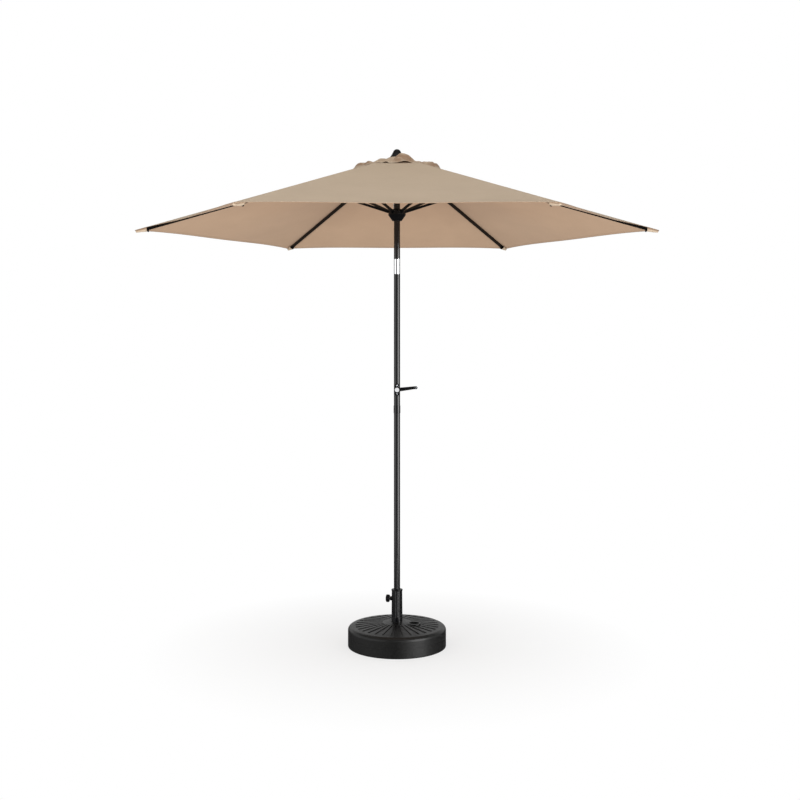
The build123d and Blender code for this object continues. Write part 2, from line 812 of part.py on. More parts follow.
# Top hub: a crown with a slot for each rib and a pin across each slot
with BuildPart() as top_hub:
    with BuildSketch(Plane.XY.offset(hub_pivot - hub_below)):
        Circle(hub_radius)
    extrude(amount=hub_below + hub_above)
    hub_edges = top_hub.edges().filter_by(GeomType.CIRCLE).sort_by(Axis.Z)
    fillet(hub_edges[-1], hub_edge)
    with BuildSketch(Plane.XY.offset(hub_pivot - hub_below)):
        Circle(pole_radius + fit)
    extrude(amount=hub_below + hub_above - hub_cap, mode=Mode.SUBTRACT)
    with BuildSketch(Plane.XY.offset(hub_pivot - hub_below)):
        with PolarLocations(hub_slot_depth, rib_count):
            Rectangle(
                hub_radius,
                rib_width + 2 * side_gap,
                align=(Align.MIN, Align.CENTER),
            )
    extrude(amount=hub_below + hub_above - hub_roof, mode=Mode.SUBTRACT)
    with BuildSketch(Plane.XY.offset(hub_top - hub_cap)):
        Circle(stud_radius + fit)
    extrude(amount=hub_cap, mode=Mode.SUBTRACT)
    with PolarLocations(pivot_radius, rib_count):
        with Locations((0, 0, hub_pivot)):
            Cylinder(
                pin_radius + fit,
                2 * hub_pin_half,
                rotation=(90, 0, 0),
                mode=Mode.SUBTRACT,
            )
save(top_hub.part, "top_hub")

with BuildPart() as hub_pins:
    with PolarLocations(pivot_radius, rib_count):
        with Locations((0, 0, hub_pivot)):
            Cylinder(pin_radius, 2 * hub_pin_half - 2 * fit, rotation=(90, 0, 0))
save(hub_pins.part, "hub_pins")

# Finial: a bell-shaped knob screwed through the vent cap into the hub
with BuildPart() as finial:
    finial_base = hub_top + cloth
    finial_top = finial_base + finial_height
    crown_radius = (finial_neck_radius**2 + finial_crown**2) / (2 * finial_crown)
    crown_half = asin(finial_neck_radius / crown_radius) / 2
    with BuildSketch(Plane.XZ):
        with BuildLine():
            skirt = Line(
                (finial_base_radius, finial_base),
                (finial_base_radius, finial_base + finial_skirt),
            )
            flare = ThreePointArc(
                skirt @ 1,
                (finial_neck_radius + finial_flare, finial_base + finial_flare_rise),
                (finial_neck_radius, finial_top - finial_crown),
            )
            crown = ThreePointArc(
                flare @ 1,
                (crown_radius * sin(crown_half), finial_top - crown_radius * (1 - cos(crown_half))),
                (0, finial_top),
            )
            Line(crown @ 1, (0, finial_base))
            Line((0, finial_base), skirt @ 0)
        make_face()
    revolve(axis=Axis.Z)
    with BuildSketch(Plane.XY.offset(finial_base)):
        Circle(stud_radius)
    extrude(amount=-stud_length)
save(finial.part, "finial")

# Ribs: square tubes from the hub to the canopy's corners, each with a tip cap and a strut bracket
rib_plane = Plane(
    origin=(pivot_radius, 0, hub_pivot),
    x_dir=(cos(ridge_slope), 0, -sin(ridge_slope)),
    z_dir=(0, -1, 0),
)
rib_length = (tip_radius - corner_margin - tip_run - pivot_radius) / cos(ridge_slope)
tip_length = tip_run / cos(ridge_slope)
with BuildPart() as rib:
    with BuildSketch(rib_plane):
        Circle(rib_height / 2)
        Rectangle(rib_length, rib_height, align=(Align.MIN, Align.CENTER))
        Circle(pin_radius + fit, mode=Mode.SUBTRACT)
    extrude(amount=rib_width / 2, both=True)
    with BuildSketch(rib_plane):
        with Locations((rib_solid_end, 0)):
            Rectangle(rib_length, rib_height - 2 * rib_wall, align=(Align.MIN, Align.CENTER))
    extrude(amount=rib_width / 2 - rib_wall, both=True, mode=Mode.SUBTRACT)
    with BuildSketch(rib_plane):
        with Locations((strut_run, 0)):
            with GridLocations(2 * rivet_step, 0, 2, 1):
                Circle(rivet_radius + fit)
    extrude(amount=rib_width, both=True, mode=Mode.SUBTRACT)
save_ring(rib.part, "rib")

with BuildPart() as rib_tip:
    with BuildSketch(rib_plane):
        with Locations((rib_length, 0)):
            Rectangle(tip_root, rib_height, align=(Align.MIN, Align.CENTER))
        with Locations((rib_length + tip_length - tip_end_radius, rib_height / 2 - tip_end_radius)):
            Circle(tip_end_radius)
        make_hull()
    extrude(amount=rib_width / 2, both=True)
    with BuildSketch(rib_plane):
        with Locations((rib_length + lug_length / 2, -rib_height / 2)):
            SlotOverall(2 * lug_drop, lug_length, rotation=90)
    extrude(amount=lug_width / 2, both=True)
    with BuildSketch(rib_plane):
        with Locations((rib_length - tip_tail, 0)):
            Rectangle(
                tip_tail,
                rib_height - 2 * rib_wall - 2 * fit,
                align=(Align.MIN, Align.CENTER),
            )
    extrude(amount=rib_width / 2 - rib_wall - fit, both=True)
save_ring(rib_tip.part, "rib_tip")

with BuildPart() as strut_bracket:
    for side in (1, -1):
        with BuildSketch(rib_plane.offset(side * rib_width / 2)):
            with Locations((strut_run, 0)):
                Rectangle(bracket_length, rib_height / 2, align=(Align.CENTER, Align.CENTER))
                SlotCenterToCenter(2 * rivet_step, rib_height / 2)
            with Locations((strut_run, -strut_pivot_drop)):
                Circle(bracket_margin)
            make_hull()
        extrude(amount=side * bracket_wall)
    with BuildSketch(rib_plane):
        with Locations((strut_run, -strut_pivot_drop)):
            Circle(pin_radius)
    extrude(amount=rib_width / 2 + bracket_wall + rivet_head, both=True)
    with BuildSketch(rib_plane):
        with Locations((strut_run, 0)):
            with GridLocations(2 * rivet_step, 0, 2, 1):
                Circle(rivet_radius)
    extrude(amount=rib_width / 2 + bracket_wall + rivet_head, both=True)
save_ring(strut_bracket.part, "strut_bracket")

# Struts: shorter tubes from the brackets down to the runner
strut_plane = Plane(
    origin=tuple(rib_plane.from_local_coords(Vector(strut_run, -strut_pivot_drop, 0))),
    x_dir=(-cos(fold_angle), 0, -sin(fold_angle)),
    z_dir=(0, 1, 0),
)
with BuildPart() as strut:
    with BuildSketch(strut_plane):
        with Locations((strut_length / 2, 0)):
            SlotCenterToCenter(strut_length, strut_height)
            with GridLocations(strut_length, 0, 2, 1):
                Circle(pin_radius + fit, mode=Mode.SUBTRACT)
    extrude(amount=strut_width / 2, both=True)
    with BuildSketch(strut_plane):
        with Locations((strut_length / 2, 0)):
            Rectangle(strut_length - 2 * strut_solid_end, strut_height - 2 * strut_wall)
    extrude(amount=strut_width / 2 - strut_wall, both=True, mode=Mode.SUBTRACT)
save_ring(strut.part, "strut")

# Runner: a funnel that slides on the pole, slotted for the struts and keyed past the tilt button
with BuildPart() as runner:
    runner_bore = pole_radius + slide_gap
    runner_low = runner_pivot - runner_tail
    with BuildSketch(Plane.XZ):
        with BuildLine():
            Polyline(
                (runner_bore, runner_low),
                (runner_tail_radius, runner_low),
                (runner_ring_radius, runner_pivot - runner_ring_low),
                (runner_ring_radius, runner_pivot + runner_ring_high),
                (runner_tail_radius, runner_pivot + runner_head),
                (runner_bore, runner_pivot + runner_head),
                close=True,
            )
        make_face()
    revolve(axis=Axis.Z)
    ring_edges = runner.edges().filter_by(GeomType.CIRCLE).group_by(SortBy.RADIUS)[-1]
    fillet(ring_edges, runner_edge)
    with BuildSketch(Plane.XY.offset(runner_low)):
        with PolarLocations(runner_core_radius, rib_count):
            Rectangle(
                runner_ring_radius,
                strut_width + 2 * side_gap,
                align=(Align.MIN, Align.CENTER),
            )
        with Locations((0, pole_radius)):
            Rectangle(keyway_width, 2 * keyway_depth)
    extrude(amount=runner_tail + runner_head, mode=Mode.SUBTRACT)
    with BuildSketch(Plane.XY.offset(runner_pivot + runner_head - cord_pocket)):
        with Locations(tuple(cord_direction * cord_out)):
            Circle(cord_radius + fit)
    extrude(amount=cord_pocket, mode=Mode.SUBTRACT)
save(runner.part, "runner")

# Lift cord: up inside the mast, over the pulley and down to the runner; below the tilt, down to the spool
with BuildPart() as lift_cord_upper:
    with BuildLine():
        rise = Line(
            tuple(cord_direction * cord_in + Vector(0, 0, tilt_pivot + cord_radius)),
            tuple(cord_direction * cord_in + Vector(0, 0, pulley_height)),
        )
        over = ThreePointArc(
            rise @ 1,
            tuple(cord_direction * pulley_offset + Vector(0, 0, pulley_height + cord_turn)),
            tuple(cord_direction * cord_out + Vector(0, 0, pulley_height)),
        )
        Line(
            over @ 1,
            tuple(cord_direction * cord_out + Vector(0, 0, runner_pivot + runner_head - cord_pocket)),
        )
    with BuildSketch(Plane(origin=rise @ 0, z_dir=rise % 0)):
        Circle(cord_radius)
    sweep()
save(lift_cord_upper.part, "lift_cord_upper")

with BuildPart() as lift_cord_lower:
    with BuildLine():
        haul = Line(
            (cord_in_x, cord_in_y, tilt_pivot - cord_radius),
            (spool_radius + cord_radius + fit, 0, crank_height),
        )
    with BuildSketch(Plane(origin=haul @ 0, z_dir=haul % 0)):
        Circle(cord_radius)
    sweep()
save(lift_cord_lower.part, "lift_cord_lower")

# Canopy: a taut hexagonal tent with an inward-bowed hem and a vent at the top
hem_chord = 2 * tip_radius * sin(radians(half_step))
hem_circle = (hem_chord**2 / 4 + hem_bow**2) / (2 * hem_bow)
hem_orbit = tip_radius * cos(radians(half_step)) - hem_bow + hem_circle
tent_outer = tip_radius + cloth_trim
tent_inner = vent_radius / 2
with BuildPart() as canopy:
    for drop, trim, mode in ((0.0, 0.0, Mode.ADD), (cloth, cloth_trim, Mode.SUBTRACT)):
        wide = tent_outer + trim
        narrow = tent_inner - trim
        with BuildSketch(Plane.XY.offset(ridge(wide) - drop)):
            RegularPolygon(wide, rib_count)
        with BuildSketch(Plane.XY.offset(ridge(narrow) - drop)):
            RegularPolygon(narrow, rib_count)
        loft(mode=mode)
    with BuildSketch(Plane.XY.offset(ridge(2 * tip_radius))):
        Circle(vent_radius)
        with PolarLocations(hem_orbit, rib_count, start_angle=half_step):
            Circle(hem_circle)
    extrude(amount=apex_height, mode=Mode.SUBTRACT)
save(canopy.part, "canopy")

# Vent cap: a small tent held between the hub and the finial
with BuildPart() as vent_cap:
    cap_hem = ridge(cap_radius) + cap_lift
    cap_fall = (hub_top + cloth - cap_hem) / (cap_radius - cap_slope_start)
    for drop, trim, mode in ((0.0, 0.0, Mode.ADD), (cloth, cloth_trim, Mode.SUBTRACT)):
        with BuildSketch(Plane.XY.offset(cap_hem - drop - trim * cap_fall)):
            RegularPolygon(cap_radius + trim, rib_count)
        with BuildSketch(Plane.XY.offset(hub_top + cloth - drop)):
            RegularPolygon(cap_slope_start, rib_count)
        loft(mode=mode)
    with BuildSketch(Plane.XY.offset(hub_top)):
        Circle(stud_radius + fit)
    extrude(amount=cloth, mode=Mode.SUBTRACT)
save(vent_cap.part, "vent_cap")
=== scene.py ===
"""Looks of a six-rib patio umbrella on a fillable base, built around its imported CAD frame.

Lengths are in metres, and +Z is up.
"""

import json
import math

import bpy
import numpy as np
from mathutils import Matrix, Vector, noise


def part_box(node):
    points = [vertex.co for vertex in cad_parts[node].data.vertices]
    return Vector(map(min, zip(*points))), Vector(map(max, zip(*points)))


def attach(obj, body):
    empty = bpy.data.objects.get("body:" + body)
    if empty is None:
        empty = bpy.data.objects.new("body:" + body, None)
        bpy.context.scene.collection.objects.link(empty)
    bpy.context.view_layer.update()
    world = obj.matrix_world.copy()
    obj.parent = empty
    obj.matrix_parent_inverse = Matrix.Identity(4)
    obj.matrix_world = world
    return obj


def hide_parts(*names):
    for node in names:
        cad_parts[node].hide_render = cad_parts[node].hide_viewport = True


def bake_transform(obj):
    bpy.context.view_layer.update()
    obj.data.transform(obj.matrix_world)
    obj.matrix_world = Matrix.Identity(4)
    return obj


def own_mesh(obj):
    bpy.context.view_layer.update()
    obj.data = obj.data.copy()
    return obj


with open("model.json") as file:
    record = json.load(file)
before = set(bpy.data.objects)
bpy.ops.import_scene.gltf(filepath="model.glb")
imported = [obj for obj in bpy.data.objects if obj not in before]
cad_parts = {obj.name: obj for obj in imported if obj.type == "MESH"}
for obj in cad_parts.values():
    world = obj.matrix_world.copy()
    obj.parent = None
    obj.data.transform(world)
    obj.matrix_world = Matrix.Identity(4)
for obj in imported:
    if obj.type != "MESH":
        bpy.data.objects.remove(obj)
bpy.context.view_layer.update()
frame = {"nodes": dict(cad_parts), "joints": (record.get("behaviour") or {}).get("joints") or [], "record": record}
nodes = frame["nodes"]
joints = {joint["name"]: joint for joint in frame["joints"]}

# Camera, fitted to the canopy's six corners, the finial and the base in the photograph
IMAGE = 800  # pixels
FOCAL = 1117.8  # pixels
CAMERA_DISTANCE = 5.754
CAMERA_HEIGHT = 1.577
AXIS_COLUMN = 397.0  # pixel column of the pole's axis
HORIZON_ROW = 339.2  # pixel row of the horizon
SENSOR = 36.0  # mm

# Canopy
RIBS = 6
CLOTH = 0.0008  # thickness
VENT_RADIUS = 0.150
HEM_BOW = 0.038  # how far the hem curves in between two corners
HEM_WIDTH = 0.024
HEM_LAYER = 0.0006  # the folded hem stands out by this on each side
HEM_GROWTH = 0.012  # from a rib, where the hem's lower layer is at its full height
SEAM_HALF = 0.007
SEAM_LAYER = 0.0005
LAYER_EASE = 0.002  # width of the slope beside a hem or a seam
RIDGE_ROUND = 0.006
PANEL_SAG = 0.010
HEM_SAG = 0.010
GORE_GRID = (45, 41)  # rows from vent to hem, columns from cut to cut
HEM_CROWDING = 1.6  # above 1, the rows lie closer together towards the hem
RIB_CROWDING = 1.7  # above 1, the columns lie closer together towards the rib
SEAM_DIGITS = 5  # decimals to which points that meet on a cut agree

# Weave and stitches
YARN = 0.0011
WEAVE_SHARE = 0.35  # of the cloth's tone; the rest is a slow cloudiness
CLOUD_SPAN = (0.25, 0.75)  # noise values between which the cloudiness runs
INNER_SPAN = (0.25, 1.15)  # from the hem, where a gore takes on the colour of its inner part; on the under side this is painted shade towards the hub
EDGE_PAINT_SPAN = (0.006, 0.003)  # from the hem, where the colour painted at the cloth's edge sets in: a painted highlight on the outer face, painted shade on the under side
EDGE_PAINT_SHARE = 0.6
HEM_SHADE = 0.10  # share of the thread's colour in the hem
THREAD_SHADE = 0.5  # and on a stitch
STITCH = (0.0035, 0.0024)  # half of a stitch with its gap, and half of a stitch alone
HEM_STITCHES = (HEM_WIDTH - 0.003, 0.0008)  # distance from the hem's edge, half width
SEAM_STITCHES = (SEAM_HALF - 0.002, 0.0007)  # distance from the rib, half width
RELIEF = 0.0004
THREAD_RELIEF, WEAVE_RELIEF = 0.9, 0.4  # shares of the relief
RELIEF_STRENGTH = 0.7
REST_SLOPE = "RestSlope"  # UV layer that holds a cloth's slope at rest, which sets its painted shade

# Vent cap
CAP_RADIUS = 0.226
CAP_START = 0.038
CAP_LIFT = 0.0004  # the cap's start above the crown
CAP_REST = 0.0009  # the cap's hem above the canopy
CAP_GRID = (33, 37)  # rows, columns
CAP_CREASES = ((24.0, 0.0046), (60.0, 0.0026))  # cells per metre, height
CREASE_SPAN = (0.15, 0.5)  # shares of the way out between which the creases set in
PUFF_FULLNESS = 2.5  # the higher, the flatter a puff is on top
# Puffs of the loose cap: x, y, turn in degrees, reach to the left, right, front and back, height
CAP_PUFFS = (
    (0.024, -0.146, 0, 0.050, 0.074, 0.052, 0.080, 0.038),
    (0.012, -0.160, -40, 0.034, 0.040, 0.012, 0.010, -0.008),
    (0.052, -0.165, 25, 0.030, 0.030, 0.014, 0.012, 0.005),
    (0.036, -0.200, 0, 0.044, 0.044, 0.040, 0.018, 0.009),
    (-0.058, -0.192, 0, 0.016, 0.018, 0.030, 0.016, 0.006),
    (-0.085, -0.118, 0, 0.060, 0.050, 0.060, 0.060, 0.008),
    (-0.200, -0.018, -60, 0.046, 0.150, 0.014, 0.040, 0.021),
    (-0.145, -0.114, -60, 0.036, 0.034, 0.013, 0.030, 0.010),
    (-0.172, -0.066, -60, 0.022, 0.022, 0.012, 0.020, -0.006),
    (0.196, -0.030, 60, 0.075, 0.070, 0.011, 0.040, 0.010),
    (0.174, -0.030, 60, 0.075, 0.095, 0.030, 0.060, 0.015),
    (0.208, 0.000, 60, 0.020, 0.024, 0.012, 0.018, 0.007),
    (0.186, -0.056, 60, 0.014, 0.014, 0.010, 0.014, -0.005),
    (0.122, -0.130, 60, 0.034, 0.034, 0.018, 0.040, 0.008),
    (-0.030, 0.150, 0, 0.090, 0.090, 0.080, 0.060, 0.026),
    (0.140, 0.100, 0, 0.070, 0.070, 0.070, 0.060, 0.016),
    (-0.150, 0.095, 0, 0.060, 0.070, 0.060, 0.060, 0.014),
)

# Pockets on the canopy's corners
POCKET_LENGTH = 0.062
POCKET_MOUTH = (0.017, 0.0225)  # half width and depth
POCKET_TIP = (0.0075, 0.0115)
POCKET_LEAST = 0.0004  # least half width and depth
POCKET_WALL = 0.0011
POCKET_INSET = 0.0025  # from the canopy's corner to the pocket's end
POCKET_SEAT = 1.2 * CLOTH  # the pocket's rim below the canopy's outer face
POCKET_NOSE = (0.90, 0.12)  # share of the length where it rounds off, share of its size at the end
POCKET_FULLNESS = 0.6  # the lower, the squarer its section
POCKET_GIRTH = 2.6  # the way round a section over its depth
POCKET_GRID = (13, 17)  # stations along the rib, points round each
POCKET_CROWDING = 1.4  # above 1, the stations lie closer together towards the end
WRINKLE = 0.0009
WRINKLE_TURNS = (7, 5)  # radians along the pocket and from point to point

# Rings: radius, and height above the runner's foot or the hub's top
RING_SIDES = 72
SKIRT_PROFILE = (
    (0.0244, 0.0002),
    (0.0454, 0.0300),
    (0.0454, 0.0348),
    (0.0436, 0.0348),
    (0.0436, 0.0308),
    (0.0232, 0.0014),
)
SKIRT_EDGE = 25  # degrees from which an edge stays sharp
CROWN_PROFILE = (
    (0.0046, CLOTH),
    (0.0440, CLOTH),
    (0.0490, -0.0016),
    (0.0500, -0.0070),
    (0.0492, -0.0070),
    (0.0482, -0.0016),
    (0.0436, 0.0001),
    (0.0046, 0.0001),
)
THROAT_RADII = (0.0508, 0.0660)  # at its upper and lower edge
THROAT_DROP = 0.0052  # below the hub's top
THROAT_DEPTH = 0.0060
THROAT_ROWS = 9

# Leaf spring and lift cord
CORD_RADIUS = 0.0015
CORD_SIDES = 12
CORD_OUT = 0.0195  # from the axis to the run outside the mast
CORD_IN = -0.002  # and to the run inside
CORD_ANGLE = 210  # degrees, the side of the mast where the cord comes out
CORD_STEPS = (24, 17, 40)  # points inside the mast, over the pulley and outside
CORD_END = 0.008  # below the runner's top
CORD_ACROSS = Vector((0.6, 0.8, 0.01))  # a direction that the cord never takes

# Studio
WHITE = (1.0, 1.0, 1.0, 1.0)
SKY = 0.50  # the surroundings as plain light
PANEL_REST = 0.08  # what reflections see between the panels
OVERHEAD = (0.70, 0.95)  # slopes between which reflections see the surroundings turn white
PANEL_BLUR = (3, 0.01)  # half width of a panel's soft edge, in degrees and as a slope
# Panels seen in reflections: degrees from the camera's side towards +X, lowest and highest slope,
# strength
PANELS = (
    (-118, -84, -0.19, 0.55, 0.9),
    (-84, -30, -0.19, 0.55, 1.3),
    (12, 31, -0.19, 0.55, 0.8),
    (34, 70, -0.19, 0.55, 6.8),
    (70, 118, -0.19, 0.55, 0.4),
    (-28, -20, -0.25, -0.19, 3.5),
    (17, 25, -0.25, -0.19, 7.0),
    (118, 180, 0.08, 0.55, 0.85),
    (-180, -118, 0.08, 0.55, 0.85),
)
FLOOR_RADIUS = 2.6
FLOOR_SIDES = 96
FLOOR_COLOUR = (0.94, 0.94, 0.94, 1.0)
FLOOR_SPAN = (0.26, 1.3)  # from the axis, where the floor runs into white
FLOOR_GLOW = (0.70, 1.0)  # share of white at the two ends of that span
# Softboxes: place, target, width and length, power in watts
SOFTBOXES = {
    "key_above": ((-0.3, -2.2, 5.2), (0, 0, 1.6), (3.0, 3.0), 63),
    "fill_left": ((-2.4, -4.4, 0.5), (0, 0.4, 2.3), (1.6, 1.0), 124),
    "fill_right": ((2.4, -4.4, 0.5), (0, 0.4, 2.3), (1.6, 1.0), 124),
}

# Sizes taken from the CAD frame
RIB_ANGLES = [math.radians(i * 360 / RIBS) for i in range(RIBS)]
HALF_STEP = math.pi / RIBS
canopy_low, canopy_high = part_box("canopy")
TIP_RADIUS = canopy_high.x
RIDGE_FALL = (canopy_high.z - canopy_low.z - CLOTH) / (TIP_RADIUS - VENT_RADIUS)
APEX = canopy_high.z + VENT_RADIUS * RIDGE_FALL
PANEL_FALL = RIDGE_FALL / math.cos(HALF_STEP)
HEM_CHORD = 2 * TIP_RADIUS * math.sin(HALF_STEP)
HEM_CIRCLE = (HEM_CHORD**2 / 4 + HEM_BOW**2) / (2 * HEM_BOW)
HEM_ORBIT = TIP_RADIUS * math.cos(HALF_STEP) - HEM_BOW + HEM_CIRCLE
HUB_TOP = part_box("top_hub")[1].z


# Shader helpers

MIX_FIRST, MIX_SECOND, MIX_RESULT = 6, 7, 2  # a Mix node's colour sockets
NOISE_SPAN = (0.3, 0.7)  # where most of a noise's values lie


def new_material(name, **sockets):
    """A material with one Principled shader; constants go straight to its sockets."""
    material = bpy.data.materials.new(name)
    material.use_nodes = True
    tree = material.node_tree
    shader = tree.nodes["Principled BSDF"]
    for socket, value in sockets.items():
        shader.inputs[socket.replace("_", " ")].default_value = value
    return material, tree, shader


def add_node(tree, kind, inputs=(), **settings):
    """A node whose listed inputs are linked or set, by socket name or index."""
    node = tree.nodes.new(kind)
    for key, value in settings.items():
        setattr(node, key, value)
    for key, value in dict(inputs).items():
        if isinstance(value, bpy.types.NodeSocket):
            tree.links.new(value, node.inputs[key])
        else:
            node.inputs[key].default_value = value
    return node


def calc(tree, operation, *values):
    """The result of one Math node."""
    inputs = dict(enumerate(values))
    return add_node(tree, "ShaderNodeMath", inputs, operation=operation).outputs[0]


def mix_colour(tree, share, first, second):
    """Two colours mixed by a share that varies over the surface."""
    node = add_node(tree, "ShaderNodeMix", {"Factor": share}, data_type="RGBA")
    for index, value in ((MIX_FIRST, first), (MIX_SECOND, second)):
        if isinstance(value, bpy.types.NodeSocket):
            tree.links.new(value, node.inputs[index])
        else:
            node.inputs[index].default_value = (*value, 1.0)
    return node.outputs[MIX_RESULT]


def noise_value(tree, coordinates, scale, detail=3.0, roughness=0.5):
    """A noise texture's value at a scale in cells per metre."""
    inputs = {"Vector": coordinates, "Scale": scale, "Detail": detail, "Roughness": roughness}
    return add_node(tree, "ShaderNodeTexNoise", inputs).outputs["Fac"]


def rescale(tree, value, low, high, to_low=0.0, to_high=1.0):
    """A value mapped from one range to another, clamped."""
    inputs = dict(enumerate((value, low, high, to_low, to_high)))
    return add_node(tree, "ShaderNodeMapRange", inputs).outputs[0]


def bump(tree, shader, height, distance, strength=1.0):
    """Relief from a height between 0 and 1, in metres."""
    inputs = {"Height": height, "Distance": distance, "Strength": strength}
    node = add_node(tree, "ShaderNodeBump", inputs)
    tree.links.new(node.outputs["Normal"], shader.inputs["Normal"])


def object_coordinates(tree):
    """A surface point's place in its object's own frame."""
    return add_node(tree, "ShaderNodeTexCoord").outputs["Object"]


def uv_values(tree, layer=""):
    """The two values of a UV layer, the main one if none is named."""
    uv_map = add_node(tree, "ShaderNodeUVMap", uv_map=layer)
    split = add_node(tree, "ShaderNodeSeparateXYZ", {0: uv_map.outputs[0]})
    return split.outputs[0], split.outputs[1]


# Materials

def powder_coat():
    """Black powder coat, glossy, with a faint cloudiness."""
    material, tree, shader = new_material("black_powder_coat", Specular_IOR_Level=0.5)
    place = object_coordinates(tree)
    cloud = noise_value(tree, place, scale=14.0)
    colour = mix_colour(tree, cloud, (0.003, 0.003, 0.0034), (0.005, 0.005, 0.0055))
    tree.links.new(colour, shader.inputs["Base Color"])
    patches = noise_value(tree, place, scale=40.0)
    rough = rescale(tree, patches, *NOISE_SPAN, to_low=0.10, to_high=0.13)
    tree.links.new(rough, shader.inputs["Roughness"])
    return material


def moulded_plastic(name, dark, light, rough, specular, grain=0.00002, grain_scale=900.0):
    """Moulded plastic with a fine grain, cloudy colour and handled patches."""
    material, tree, shader = new_material(name, Specular_IOR_Level=specular)
    place = object_coordinates(tree)
    cloud = noise_value(tree, place, scale=9.0, detail=5.0, roughness=0.6)
    colour = mix_colour(tree, rescale(tree, cloud, *NOISE_SPAN), dark, light)
    tree.links.new(colour, shader.inputs["Base Color"])
    patches = noise_value(tree, place, scale=35.0, detail=4.0)
    tree.links.new(rescale(tree, patches, *NOISE_SPAN, *rough), shader.inputs["Roughness"])
    bump(tree, shader, noise_value(tree, place, grain_scale, detail=2.0), distance=grain)
    return material


def plated_metal(name, colour, rough, dulling=0.96):
    """Plated metal with a faintly cloudy polish."""
    material, tree, shader = new_material(name, Metallic=1.0)
    cloud = noise_value(tree, object_coordinates(tree), scale=30.0, detail=2.0)
    mixed = mix_colour(tree, cloud, [dulling * c for c in colour], colour)
    tree.links.new(mixed, shader.inputs["Base Color"])
    tree.links.new(rescale(tree, cloud, *NOISE_SPAN, *rough), shader.inputs["Roughness"])
    return material


def braid(lay=2600.0, strands=25.1):
    """Braided cord: two sets of strands crossing at a slant.

    UV holds turns round the cord and metres along it; lay and strands are radians for each.
    """
    material, tree, shader = new_material("lift_cord_braid", Roughness=0.8, Sheen_Weight=0.3)
    around, along = uv_values(tree)
    start = calc(tree, "MULTIPLY", around, strands)
    left, right = (
        calc(tree, "SINE", calc(tree, "MULTIPLY_ADD", along, slant, start))
        for slant in (lay, -lay)
    )
    weave = rescale(tree, calc(tree, "MULTIPLY", left, right), -1.0, 1.0)
    colour = mix_colour(tree, weave, (0.30, 0.30, 0.29), (0.52, 0.52, 0.50))
    tree.links.new(colour, shader.inputs["Base Color"])
    bump(tree, shader, weave, distance=0.0004)
    return material


def stitches(tree, along, away, line, half):
    """A dashed row of stitches: 1 on a stitch and 0 elsewhere."""
    dash = calc(tree, "LESS_THAN", calc(tree, "PINGPONG", along, STITCH[0]), STITCH[1])
    return calc(tree, "MULTIPLY", dash, calc(tree, "COMPARE", away, line, half))


def woven_cloth(name, dark, light, inner, thread, edge, steep_shade=None, slope=None):
    """Woven polyester, with painted shade set by the cloth's slope at rest, if a shade colour is given.

    UV holds the distance from the rib's seam and from the hem, in metres.
    """
    material, tree, shader = new_material(
        name, Roughness=0.86, Specular_IOR_Level=0.15, Sheen_Weight=0.06, Sheen_Roughness=0.5
    )
    across, inward = uv_values(tree)
    turn = 2 * math.pi / YARN
    warp = calc(tree, "SINE", calc(tree, "MULTIPLY", across, turn))
    weft = calc(tree, "SINE", calc(tree, "MULTIPLY", inward, turn))
    weave = rescale(tree, calc(tree, "MULTIPLY", warp, weft), -1.0, 1.0)
    cloud = noise_value(tree, object_coordinates(tree), scale=5.0, detail=6.0, roughness=0.6)
    cloudy = calc(tree, "MULTIPLY", rescale(tree, cloud, *CLOUD_SPAN), 1 - WEAVE_SHARE)
    tone = calc(tree, "MULTIPLY_ADD", weave, WEAVE_SHARE, cloudy)
    colour = mix_colour(tree, tone, dark, light)
    colour = mix_colour(tree, rescale(tree, inward, *INNER_SPAN), colour, inner)
    # Painted shade that deepens between the two rest slopes given: on the cap's sharply sloping folds and on the
    # pockets' downward faces.
    if steep_shade is not None:
        upward = uv_values(tree, REST_SLOPE)[0]
        colour = mix_colour(tree, rescale(tree, upward, *slope), colour, steep_shade)
    in_hem = calc(tree, "LESS_THAN", inward, HEM_WIDTH)
    colour = mix_colour(tree, calc(tree, "MULTIPLY", in_hem, HEM_SHADE), colour, thread)
    # The edge colour is painted light on the hem's fold: a painted highlight on the outer cloth and the cap,
    # painted shade on the under side and along the pockets' sewn edges.
    painted_edge = rescale(tree, inward, *EDGE_PAINT_SPAN, to_high=EDGE_PAINT_SHARE)
    colour = mix_colour(tree, painted_edge, colour, edge)
    sewn = calc(
        tree,
        "MAXIMUM",
        stitches(tree, across, inward, *HEM_STITCHES),
        stitches(tree, inward, calc(tree, "ABSOLUTE", across), *SEAM_STITCHES),
    )
    colour = mix_colour(tree, calc(tree, "MULTIPLY", sewn, THREAD_SHADE), colour, thread)
    tree.links.new(colour, shader.inputs["Base Color"])
    raised = calc(tree, "MULTIPLY", weave, WEAVE_RELIEF)
    height = calc(tree, "MULTIPLY_ADD", sewn, THREAD_RELIEF, raised)
    bump(tree, shader, height, distance=RELIEF, strength=RELIEF_STRENGTH)
    return material


